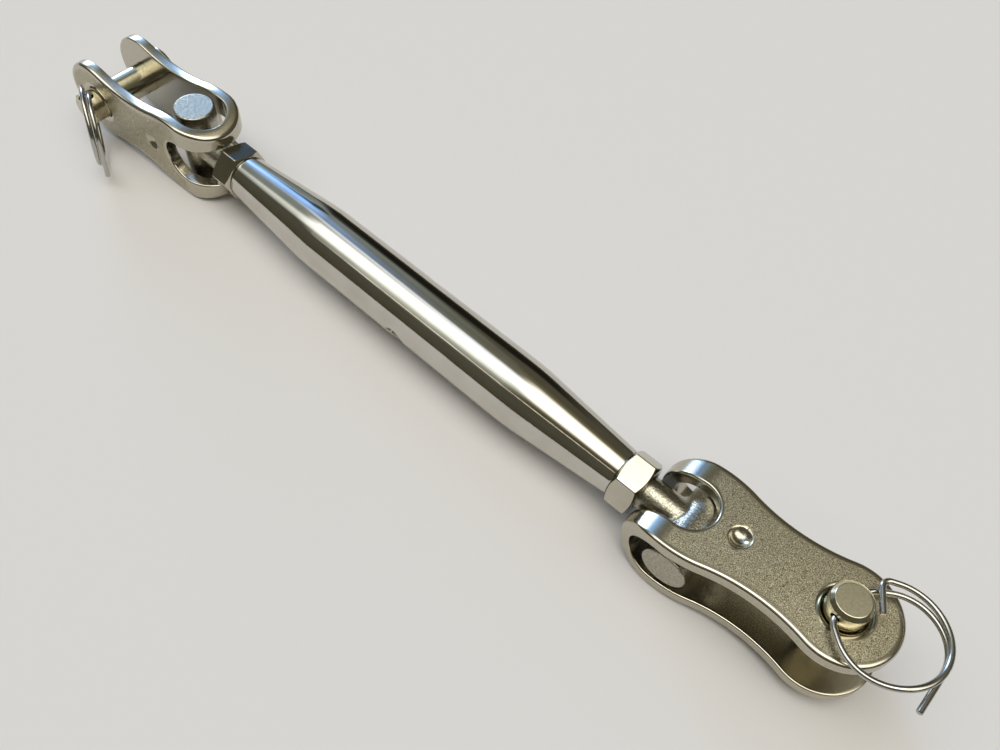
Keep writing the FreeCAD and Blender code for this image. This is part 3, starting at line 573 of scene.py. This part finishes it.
def toggle_half():
    """Half of the toggle, v from 0 up, as one sheet: a closed section carried from the lower tip round
    the fold to the upper tip, between an inner and an outer line. In the fold each layer of the plate is a
    half circle about the fold's centre: minus radius times sine, and radius times cosine."""
    inner, inner_normal, outer, outer_normal, rim, wall = plate_stations()
    share, inset_in, inset_out, depth, depth_rim = section_loop()
    t = share[None, :, None]
    from_inside = inner[:, None] + (inset_in * rim[:, None])[..., None] * inner_normal[:, None]
    from_outside = outer[:, None] - inset_out[:, None] * outer_normal[:, None]
    plan = (1 - t) * from_inside + t * from_outside
    deep = depth + depth_rim * rim[:, None]
    punched = np.where(wall[:, None], 0.0, dimple(plan[..., 0], plan[..., 1]))
    height = OUTER_HALF - deep - punched
    upper = np.stack([plan[..., 0], plan[..., 1], height], axis=-1)
    lower = upper[::-1] * [1.0, 1.0, -1.0]
    angle = np.linspace(math.pi, 0.0, 61)[1:-1]
    layer = OUTER_HALF - (depth + depth_rim * SLOT_ROUND)
    u = -layer * np.sin(angle)[:, None]
    side = outline_at(u)[0][..., 1]
    v = (1 - share) * (SLOT_HALF + inset_in * SLOT_ROUND) + share * (side - inset_out)
    fold = np.stack([u, v, layer * np.cos(angle)[:, None]], axis=-1)
    points = np.concatenate([lower, fold, upper])
    walls = np.concatenate([wall[::-1], np.ones(len(angle), dtype=bool), wall])
    # Bright rims: 1 on the rounds, fading over the face. The middle line is no rim, so it is out of reach
    fold_strip, out_of_reach = 5.0, 99.0
    wide = np.linalg.norm(outer - inner, axis=1)
    wide = np.concatenate([wide[::-1], np.full(len(angle), fold_strip), wide])[:, None]
    from_outer = (1 - share) * wide
    from_inner = share * wide + np.where(walls, 0.0, out_of_reach)[:, None]
    polish = np.exp(-(np.minimum(from_outer, from_inner) / RIM_WIDTH) ** 2)
    # Smooth too: the walls, the faces inside the jaw, the bend and the dimples
    inside = depth >= PLATE * 0.95
    polish = np.where((depth > EDGE_ROUND * 0.9) & ~inside, WALL_POLISH, polish)
    polish = np.where(inside, np.maximum(polish, SMOOTH_POLISH), polish)
    bend = np.clip((BEND_FADE_START - points[..., 0]) / BEND_FADE, 0.0, 1.0)
    polish = np.maximum(polish, SMOOTH_POLISH * bend * bend * (3 - 2 * bend))
    from_dimple = np.hypot(points[..., 0] - DIMPLE_AT, points[..., 1])
    dimpled = np.clip((DIMPLE_RADIUS + DIMPLE_FADE - from_dimple) / DIMPLE_FADE, 0.0, 1.0)
    return points, walls, np.maximum(polish, DIMPLE_POLISH * dimpled)


def toggle_sheets():
    """Both halves. The section's inner wall, its first columns, is left out where the inner side is the
    middle line."""
    points, walls, polish = toggle_half()
    rows, columns = points.shape[:2]
    both = walls[:-1] & walls[1:]
    keep = np.ones((rows - 1, columns), dtype=bool)
    wall_columns = 8
    keep[~both, :wall_columns] = False
    sheets = [grid(points * [1.0, sign, 1.0], keep=keep) for sign in (1.0, -1.0)]
    return sheets, np.tile(polish.reshape(-1), 2)


def pin_sheets():
    """Clevis pin along Z: turned head, shank and chamfered end, with the cross hole along X."""
    sides = 48
    ends = 12
    rim = WIRE_HOLE_RADIUS + WIRE_HOLE_RIM
    half, turn = holed_half(PIN_RADIUS, PIN_BAND, sides, ends, 10, rim)
    across = WIRE_HOLE_RADIUS * np.sin(turn)
    surface = np.sqrt(PIN_RADIUS ** 2 - across ** 2)
    mouth = np.stack([WIRE_HOLE_RADIUS * np.cos(turn), surface - WIRE_HOLE_RIM_DEPTH, across], axis=-1)
    middle = mouth * [1.0, 0.0, 1.0]
    half = np.concatenate([half, mouth[None], middle[None]])
    # The band's own axis is Z here and its hole runs along X
    lifted = np.stack([half[..., 1], half[..., 2], half[..., 0] + WIRE_HOLE_AT], axis=-1)
    base = PIN_SEAT - PIN_HEAD_HEIGHT
    low = eased([(base, 0.0), (base, PIN_HEAD_RADIUS), (PIN_SEAT, PIN_HEAD_RADIUS), (PIN_SEAT, PIN_RADIUS),
                 (WIRE_HOLE_AT - PIN_BAND, PIN_RADIUS)], [PIN_HEAD_ROUND, PIN_HEAD_ROUND, EDGE_BREAK])
    high = eased([(WIRE_HOLE_AT + PIN_BAND, PIN_RADIUS), (PIN_TOP - PIN_CHAMFER, PIN_RADIUS),
                  (PIN_TOP, PIN_RADIUS - PIN_CHAMFER), (PIN_TOP, 0.0)], [EDGE_BREAK, EDGE_BREAK])
    return ([grid(lifted * [sign, sign, 1.0]) for sign in (1.0, -1.0)]
            + [turned_sheet(profile, 2, 2 * sides) for profile in (low, high)])


def pin_rubbed(sheets):
    """Polish of the pin's points: none on the end face inside the chamfer, full elsewhere."""
    points = np.concatenate([p for p, q in sheets])
    radius = np.hypot(points[:, 0], points[:, 1])
    on_end = (points[:, 2] > PIN_TOP - 0.01) & (radius < PIN_RADIUS - PIN_CHAMFER - 0.05)
    return np.where(on_end, 0.0, 1.0)


def on_disc(disc, heading):
    """Where wire that is wound clockwise round a disc runs in the given direction: the disc's middle plus
    its radius times the direction turned left by a right angle."""
    x, y, radius = disc
    return np.stack([x - radius * np.sin(heading), y + radius * np.cos(heading)], axis=-1)


def ring_line():
    """Middle line of the cotter ring: arcs round five discs, joined by straight runs that are tangent to
    both discs, and a smooth step down, three squares less two cubes, from the upper turn to the lower."""
    points_per_radian = 14
    discs = [RING_END_BEND, RING_OUTER, RING_FIRST_BEND, RING_SECOND_BEND, RING_INNER]
    runs = []
    for first, second in zip(discs, discs[1:]):
        dx = second[0] - first[0]
        dy = second[1] - first[1]
        runs.append(math.atan2(dy, dx) - math.asin((first[2] - second[2]) / math.hypot(dx, dy)))
    # The heading of each straight run, ever further clockwise
    turns = [RING_END_HEADING]
    for heading in runs + [RING_TAIL_HEADING]:
        while heading > turns[-1]:
            heading -= 2 * math.pi
        turns.append(heading)
    start = on_disc(discs[0], turns[0]) - RING_END_LENGTH * facing(turns[0])
    plan = [start[None]]
    lift = [np.array([RING_RISE])]
    for number, disc in enumerate(discs):
        span = turns[number] - turns[number + 1]
        heading = np.linspace(turns[number], turns[number + 1], max(8, int(span * points_per_radian)))
        plan.append(on_disc(disc, heading))
        if disc is RING_OUTER:
            whole = round((turns[number] - RING_RAMP[0]) / (2 * math.pi)) * 2 * math.pi
            part = np.clip((RING_RAMP[0] + whole - heading) / (RING_RAMP[0] - RING_RAMP[1]), 0.0, 1.0)
            lift.append(RING_RISE * (1 - part ** 2 * (3 - 2 * part)))
        else:
            lift.append(np.full(len(heading), RING_RISE if number == 0 else 0.0))
    tail = plan[-1][-1] + RING_TAIL_LENGTH * facing(turns[-1])
    plan.append(tail[None])
    lift.append(np.zeros(1))
    return np.column_stack([np.concatenate(plan), np.concatenate(lift)])


def wire_sheets(line, radius):
    """Round wire: at each point of a line in nearly one plane, a circle square to the line. Its cut ends
    are slightly broken at the rim."""
    columns = 16
    along = unit(np.gradient(line, axis=0))
    up = np.array([0.0, 0.0, 1.0])
    side = unit(np.cross(along, up))
    top = np.cross(side, along)
    angle = np.linspace(0.0, 2 * math.pi, columns, endpoint=False)
    ring = np.cos(angle)[None, :, None] * side[:, None] + np.sin(angle)[None, :, None] * top[:, None]
    tube = line[:, None] + radius * ring
    soft = radius * 0.25
    caps = []
    for end, way in ((0, -1.0), (-1, 1.0)):
        tip = line[end] + way * along[end] * soft
        caps.append(np.stack([tip + ring[end] * (radius - soft), np.tile(tip, (columns, 1))]))
    return [grid(np.concatenate([caps[0][::-1], tube, caps[1]]))]


def bolt_seat(side):
    """Seat of a T-bolt: X away from the body, Y along the barrel."""
    if side == "near":
        return (NEAR_BARREL, 0.0, 0.0), (1.0, 0.0, 0.0), (0.0, 1.0, 0.0)
    return (-FAR_BARREL, 0.0, 0.0), (-1.0, 0.0, 0.0), (0.0, 0.0, -1.0)


def jaw_seat(side):
    """Seat of a toggle: X to its mouth, Y along its bolt's barrel."""
    axis, _, across = map(np.array, bolt_seat(side))
    if side == "near":
        along = np.array([math.cos(NEAR_SWING), 0.0, math.sin(NEAR_SWING)])
        return axis - along * BARREL_SHIFT - np.cross(along, across) * NEAR_LIFT, along, across
    along = np.array([-math.cos(FAR_SWING), -math.sin(FAR_SWING), 0.0])
    return axis - along * BARREL_SHIFT - across * FAR_DROP, along, across


def pin_seat(side):
    """Seat of a clevis pin, turned in its jaw."""
    origin, along, across = jaw_seat(side)
    turn = NEAR_PIN_TURN if side == "near" else FAR_PIN_TURN
    first = along * math.cos(turn) + across * math.sin(turn)
    second = -along * math.sin(turn) + across * math.cos(turn)
    return origin + along * JAW_DEPTH, first, second


def ring_seat(side):
    """Seat of a cotter ring, tilted about the wire's straight stretch in the pin."""
    origin, first, second = pin_seat(side)
    up = np.cross(first, second)
    tilt = NEAR_RING_TILT if side == "near" else FAR_RING_TILT
    return origin + up * WIRE_HOLE_AT, first, second * math.cos(tilt) + up * math.sin(tilt)


def linear(hex_code):
    """sRGB hex to linear colour."""
    channels = [int(hex_code[i:i + 2], 16) / 255 for i in (1, 3, 5)]
    return [c / 12.92 if c <= 0.04045 else ((c + 0.055) / 1.055) ** 2.4 for c in channels] + [1.0]


def add(tree, kind, settings=None, values=None, links=None):
    """Adds a shader node with its settings, input values and links from other nodes' outputs."""
    node = tree.nodes.new("ShaderNode" + kind)
    for name, value in (settings or {}).items():
        setattr(node, name, value)
    for name, value in (values or {}).items():
        node.inputs[name].default_value = value
    for name, source in (links or {}).items():
        tree.links.new(source, node.inputs[name])
    return node


def new_material(name):
    """An empty material, its node tree, and the piece's own coordinates."""
    material = bpy.data.materials.new(name)
    material.use_nodes = True
    tree = material.node_tree
    tree.nodes.clear()
    return material, tree, add(tree, "TexCoord").outputs["Object"]


def steel(name, light, dark, cloud_mm, roughness, spread, grain_mm, height_mm, stretch=(1.0, 1.0, 1.0),
          rubbed=None):
    """Stainless steel: metallic, two close tones in a cloudy pattern, a grain whose size and height are
    in millimetres and which may be stretched along an axis, and roughness that varies with it. Where the
    piece's polish is 1 the roughness is the rubbed one. The real grain is finer than a pixel, so it is
    drawn as coarse as it needs to show."""
    material, tree, place = new_material(name)
    stretched = add(tree, "Mapping", values={"Scale": stretch}, links={"Vector": place})
    grain = add(tree, "TexNoise", values={"Scale": 1 / (grain_mm * MM), "Detail": 3.0, "Roughness": 0.6},
                links={"Vector": stretched.outputs["Vector"]}).outputs["Fac"]
    cloud = add(tree, "TexNoise", values={"Scale": 1 / (cloud_mm * MM), "Detail": 4.0, "Roughness": 0.62},
                links={"Vector": place})
    # Most of the noise lies in this range, so the tones reach from dark to light
    share = add(tree, "MapRange", values={"From Min": 0.36, "From Max": 0.64},
                links={"Value": cloud.outputs["Fac"]})
    tone = add(tree, "Mix", {"data_type": "RGBA"}, {6: linear(dark), 7: linear(light)},
               {"Factor": share.outputs["Result"]})
    rough = add(tree, "MapRange", values={"To Min": roughness - spread, "To Max": roughness + spread},
                links={"Value": grain}).outputs["Result"]
    if rubbed is not None:
        polish = add(tree, "Attribute", {"attribute_name": "polish"})
        rough = add(tree, "Mix", values={"B": rubbed},
                    links={"Factor": polish.outputs["Fac"], "A": rough}).outputs["Result"]
    ridge = add(tree, "Bump", values={"Strength": 1.0, "Distance": height_mm * MM}, links={"Height": grain})
    shader = add(tree, "BsdfPrincipled", values={"Metallic": 1.0},
                 links={"Base Color": tone.outputs[2], "Roughness": rough,
                        "Normal": ridge.outputs["Normal"]})
    add(tree, "OutputMaterial", links={"Surface": shader.outputs["BSDF"]})
    return material


def toggle_steel():
    """Stainless plate, pressed and tumbled with grit: sandy faces with a warm grey speckle, and bright rims
    and smoother bends where pieces rub each other. Sand and pits are as coarse as they need to show."""
    sand_mm, pit_mm, pit_share, depth_mm = 0.18, 0.25, 0.6, 0.03
    sandy, bright = 0.36, 0.14
    material, tree, place = new_material("tumbled_plate_stainless")
    rubbed = add(tree, "Attribute", {"attribute_name": "polish"}).outputs["Fac"]
    sand = add(tree, "TexNoise", values={"Scale": 1 / (sand_mm * MM), "Detail": 2.0, "Roughness": 0.6},
               links={"Vector": place}).outputs["Fac"]
    pits = add(tree, "TexVoronoi", values={"Scale": 1 / (pit_mm * MM)}, links={"Vector": place})
    speck = add(tree, "ValToRGB", links={"Fac": sand})
    for element, position, colour in zip(speck.color_ramp.elements, (0.4, 0.66), ("#706a54", "#ebe2c8")):
        element.position = position
        element.color = linear(colour)
    tone = add(tree, "Mix", {"data_type": "RGBA"}, {7: linear("#beb9aa")},
               {"Factor": rubbed, 6: speck.outputs["Color"]})
    rough = add(tree, "MapRange", values={"To Min": sandy, "To Max": bright}, links={"Value": rubbed})
    height = add(tree, "Math", {"operation": "MULTIPLY_ADD"}, {1: pit_share},
                 {0: pits.outputs["Distance"], 2: sand})
    strength = add(tree, "MapRange", values={"To Min": 1.0, "To Max": 0.0}, links={"Value": rubbed})
    ridge = add(tree, "Bump", values={"Distance": depth_mm * MM},
                links={"Height": height.outputs["Value"], "Strength": strength.outputs["Result"]})
    shader = add(tree, "BsdfPrincipled", values={"Metallic": 1.0},
                 links={"Base Color": tone.outputs[2], "Roughness": rough.outputs["Result"],
                        "Normal": ridge.outputs["Normal"]})
    add(tree, "OutputMaterial", links={"Surface": shader.outputs["BSDF"]})
    return material


def dress(piece, node, body, material):
    """Puts a finished piece in place of its solid."""
    piece.data.materials.append(material)
    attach(piece, body)
    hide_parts(node)


def make_screw():
    """All the pieces of the screw."""
    # Tube, turned, swaged and buffed lengthways: a near mirror, with faint streaks along it
    mirror = steel("mirror_polished_stainless", "#cbc8c1", "#c2beb5", cloud_mm=9.0, roughness=0.075,
                   spread=0.025, grain_mm=0.3, height_mm=0.003, stretch=(0.03, 1.0, 1.0))
    # Hexagon bar, cut to length and polished: flats that mirror the room softly
    hexagon = steel("polished_hexagon_stainless", "#c1bcae", "#b5b0a2", cloud_mm=9.0, roughness=0.14,
                    spread=0.04, grain_mm=0.3, height_mm=0.004)
    # Bar, forged to a T and brushed: mottled and slightly rippled
    drawn = steel("brushed_bar_stainless", "#bab6a6", "#8d887a", cloud_mm=0.45, roughness=0.23,
                  spread=0.08, grain_mm=0.35, height_mm=0.06)
    # Bar, turned and cut off on a lathe: a bright shank and a dull end
    turned = steel("turned_pin_stainless", "#d2ccb4", "#c2bca4", cloud_mm=0.5, roughness=0.32,
                   spread=0.07, grain_mm=0.2, height_mm=0.006, rubbed=0.16)
    # Wire drawn through a die: bright, with long sharp highlights
    wire = steel("bright_drawn_spring_wire", "#bdbbb6", "#aeaca6", cloud_mm=9.0, roughness=0.17,
                 spread=0.05, grain_mm=0.15, height_mm=0.003)
    plate = toggle_steel()
    # The bar hole looks down and forwards
    dress(build("polished_body", body_sheets(), axis_seat(0.0, BAR_HOLE_TURN), rounds=[(0, BODY_RADIUS)]),
          "body_tube", "body", mirror)
    nut = nut_sheets()
    for side, start, turn in (("near", BODY_HALF, NEAR_NUT_TURN),
                              ("far", -BODY_HALF - NUT_HEIGHT, FAR_NUT_TURN)):
        dress(build(side + "_nut", nut, axis_seat(start, turn + NUT_FLAT_AT)),
              side + "_lock_nut", side + "_nut", hexagon)
    # One end has a right-hand thread, the other a left-hand one
    for side, reach, hand in (("near", NEAR_BARREL, 1), ("far", FAR_BARREL, -1)):
        dress(build(side + "_bolt", bolt_sheets(reach, hand), bolt_seat(side), rounds=[(1, BARREL_RADIUS)]),
              side + "_t_bolt", side + "_bolt", drawn)
    fork, polish = toggle_sheets()
    pin = pin_sheets()
    pin_polish = pin_rubbed(pin)
    ring = wire_sheets(ring_line(), WIRE_RADIUS)
    for side in ("near", "far"):
        dress(build(side + "_folded_jaw", fork, jaw_seat(side), polish),
              side + "_toggle", side + "_jaw", plate)
        dress(build(side + "_pin", pin, pin_seat(side), pin_polish, rounds=[(2, PIN_RADIUS)]),
              side + "_clevis_pin", side + "_pin", turned)
        dress(build(side + "_ring", ring, ring_seat(side)),
              side + "_cotter_ring", side + "_ring", wire)


# The floor: the near jaw's fold and the far bolt's lower end stand on it
NEAR_LOW = -9.95
FAR_LOW = -11.2
FLOOR_REACH = 3000.0


def make_floor():
    """Plain pale floor through the two lowest points."""
    slope = (NEAR_LOW - FAR_LOW) / (NEAR_BARREL + FAR_BARREL - BARREL_SHIFT)
    low, high = [NEAR_LOW + (x - NEAR_BARREL + BARREL_SHIFT) * slope for x in (-FLOOR_REACH, FLOOR_REACH)]
    points = np.array([[-FLOOR_REACH, -FLOOR_REACH, low], [FLOOR_REACH, -FLOOR_REACH, high],
                       [FLOOR_REACH, FLOOR_REACH, high], [-FLOOR_REACH, FLOOR_REACH, low]]) * MM
    mesh = bpy.data.meshes.new("floor")
    mesh.from_pydata(points, [], [[0, 1, 2, 3]])
    floor = new_object("floor", mesh)
    material = bpy.data.materials.new("pale_floor")
    material.use_nodes = True
    shader = material.node_tree.nodes["Principled BSDF"]
    shader.inputs["Base Color"].default_value = linear("#d9d6d7")
    shader.inputs["Roughness"].default_value = 0.9
    shader.inputs["Specular IOR Level"].default_value = 0.0
    mesh.materials.append(material)


def board_mask(tree, spot, ahead, half, soft):
    """Mask of a rectangular board in the room: 1 inside, 0 outside and behind, with a smooth edge of the
    given width centred on its rim. Lengths are tangents, as seen from the screw."""
    away = add(tree, "VectorMath", {"operation": "ABSOLUTE"}, links={0: spot}).outputs["Vector"]
    near = [reach - edge / 2 for reach, edge in zip(half, soft)] + [0.0]
    far = [reach + edge / 2 for reach, edge in zip(half, soft)] + [1.0]
    fade = add(tree, "MapRange", {"data_type": "FLOAT_VECTOR", "interpolation_type": "SMOOTHSTEP"},
               {7: near, 8: far, 9: (1.0, 1.0, 1.0), 10: (0.0, 0.0, 0.0)}, {6: away})
    both = add(tree, "SeparateXYZ", links={"Vector": fade.outputs["Vector"]})
    mask = both.outputs["X"]
    for factor in (both.outputs["Y"], ahead):
        mask = add(tree, "Math", {"operation": "MULTIPLY"}, links={0: mask, 1: factor}).outputs["Value"]
    return mask


def on_plane(tree, vector, height):
    """Where a direction meets a flat board at distance one, and 1 if it points clearly towards it."""
    least, clear = 0.05, 0.06
    front = add(tree, "Math", {"operation": "MAXIMUM"}, {1: least}, {0: height}).outputs["Value"]
    spot = add(tree, "VectorMath", {"operation": "DIVIDE"}, links={0: vector, 1: front})
    ahead = add(tree, "Math", {"operation": "GREATER_THAN"}, {1: clear}, {0: height})
    return spot.outputs["Vector"], ahead.outputs["Value"]


def wall_mask(tree, way, centre, half, soft):
    """Mask of a board that stands square to a direction given as azimuth and elevation in degrees."""
    azimuth, elevation = centre
    turn = (math.radians(90.0 - elevation), 0.0, math.radians(azimuth + 90.0))
    turned = add(tree, "Mapping", {"vector_type": "TEXTURE"}, {"Rotation": turn}, {"Vector": way})
    split = add(tree, "SeparateXYZ", links={"Vector": turned.outputs["Vector"]})
    spot, ahead = on_plane(tree, turned.outputs["Vector"], split.outputs["Z"])
    return board_mask(tree, spot, ahead, half, soft)


# Bare walls: their colour at each height of the direction, from level to straight up
WALL_TONES = [(0.0, "#4a4632"), (0.1, "#555140"), (0.4, "#5c5b50"), (0.8, "#615b47"), (1.0, "#96937f")]
# Ceiling boards: turn, centre, half size, edge, and colour times brightness, where 1 is white
CEILING_BOARDS = [
    (-0.145, (-0.08, -0.05), (0.44, 0.21), (1.585, 0.19), (1.05, 1.1, 1.07)),
    (0.106, (-0.79, -0.40), (0.42, 0.22), (0.9, 0.29), (1.5, 1.6, 1.58)),
    (0.863, (-0.46, -0.545), (0.59, 0.13), (0.68, 0.70), (0.92, 0.98, 0.92)),
    (0.0, (-0.40, -0.16), (0.34, 0.20), (0.35, 0.2), (1.6, 1.6, 1.6)),
    (0.0, (0.53, -0.08), (0.68, 0.42), (0.25, 0.3), (2.2, 2.1, 1.85)),
    (0.05, (-0.30, -1.03), (0.60, 0.03), (0.3, 0.05), (1.5, 1.4, 1.2)),
    (-0.36, (-0.63, 0.22), (0.485, 0.064), (0.525, 0.135), (0.6, 0.7, 0.95)),
]
# Wall boards: azimuth and elevation of their centre, half size, edge, and colour times brightness
WALL_BOARDS = [
    ((148.4, 22.5), (0.113, 0.376), (0.187, 1.01), (0.27, 0.72, 1.75)),
    ((158.6, 25.4), (0.58, 0.47), (0.22, 1.04), (0.22, 0.28, 0.30)),
    ((157.0, 15.0), (0.13, 0.17), (0.16, 0.34), (6.5, 7.8, 9.2)),
    ((155.0, 18.0), (0.20, 0.36), (0.30, 0.50), (0.12, 0.30, 0.75)),
]
# Dark boards: azimuth and elevation of their centre, half size, edge, and share of the light kept off
DARK_BOARDS = [
    ((113.0, 18.3), (0.285, 0.22), (0.1, 0.18), 0.84),
    ((138.0, 30.0), (0.075, 0.085), (0.05, 0.07), 0.85),
]


def make_light():
    """The photograph's light, worked out from what the polished tube mirrors: a soft ceiling light to the
    left and above, a thin strip this side of it, a cool window far left, dim warm walls and dark boards."""
    world = bpy.data.worlds.new("room")
    world.use_nodes = True
    tree = world.node_tree
    tree.nodes.clear()
    way = add(tree, "TexCoord").outputs["Generated"]
    split = add(tree, "SeparateXYZ", links={"Vector": way})
    walls = add(tree, "ValToRGB", links={"Fac": split.outputs["Z"]})
    ramp = walls.color_ramp.elements
    for height, colour in WALL_TONES[1:-1]:
        ramp.new(height)
    for element, (height, colour) in zip(ramp, WALL_TONES):
        element.color = linear(colour)
    total = walls.outputs["Color"]
    above, ahead = on_plane(tree, way, split.outputs["Z"])
    lit = []
    for turn, (x, y), half, soft, colour in CEILING_BOARDS:
        spot = add(tree, "Mapping", {"vector_type": "TEXTURE"},
                   {"Location": (x, y, 0.0), "Rotation": (0.0, 0.0, turn)}, {"Vector": above})
        lit.append((colour, board_mask(tree, spot.outputs["Vector"], ahead, half, soft)))
    for centre, half, soft, colour in WALL_BOARDS:
        lit.append((colour, wall_mask(tree, way, centre, half, soft)))
    for colour, mask in lit:
        board = add(tree, "VectorMath", {"operation": "SCALE"}, {0: colour}, {"Scale": mask})
        total = add(tree, "VectorMath", {"operation": "ADD"},
                    links={0: total, 1: board.outputs["Vector"]}).outputs["Vector"]
    for centre, half, soft, kept_off in DARK_BOARDS:
        shade = wall_mask(tree, way, centre, half, soft)
        dim = add(tree, "Math", {"operation": "MULTIPLY_ADD"}, {1: -kept_off, 2: 1.0}, {0: shade})
        total = add(tree, "VectorMath", {"operation": "SCALE"},
                    links={0: total, "Scale": dim.outputs["Value"]}).outputs["Vector"]
    light = add(tree, "Background", links={"Color": total})
    # Where the floor ends, the camera sees a plain pale backdrop, while the metal still mirrors the room
    backdrop = add(tree, "Background", values={"Color": linear("#dcd9d5")})
    ray = add(tree, "LightPath")
    seen = add(tree, "MixShader", links={0: ray.outputs["Is Camera Ray"], 1: light.outputs["Background"],
                                         2: backdrop.outputs["Background"]})
    add(tree, "OutputWorld", links={"Surface": seen.outputs["Shader"]})
    bpy.context.scene.world = world


# The photograph's camera, fitted to the screw: focal length in pixels of the 1000 by 750 frame, the
# sensor's width and the camera's place in millimetres, and where its right and down point
FOCAL_PX = 827.27
FRAME_PX = 1000.0
SENSOR = 36.0
CAMERA_PLACE = (82.44, -82.29, 154.14)
CAMERA_RIGHT = (0.745219, 0.662072, 0.079434)
CAMERA_DOWN = (0.590600, -0.600033, -0.539585)


def make_camera():
    """The camera at the photograph's viewing angle."""
    data = bpy.data.cameras.new("camera")
    data.sensor_fit = "HORIZONTAL"
    data.sensor_width = SENSOR
    data.lens = FOCAL_PX * SENSOR / FRAME_PX
    data.clip_start = 0.01
    camera = new_object("camera", data)
    right = unit(np.array(CAMERA_RIGHT))
    up = unit(-np.array(CAMERA_DOWN))
    back = np.cross(right, up)
    matrix = np.eye(4)
    matrix[:3, 0], matrix[:3, 1], matrix[:3, 2] = right, up, back
    matrix[:3, 3] = np.array(CAMERA_PLACE) * MM
    camera.matrix_world = Matrix(matrix.tolist())
    bpy.context.scene.camera = camera


make_screw()
make_floor()
make_light()
make_camera()
bpy.context.scene.view_settings.view_transform = "Standard"
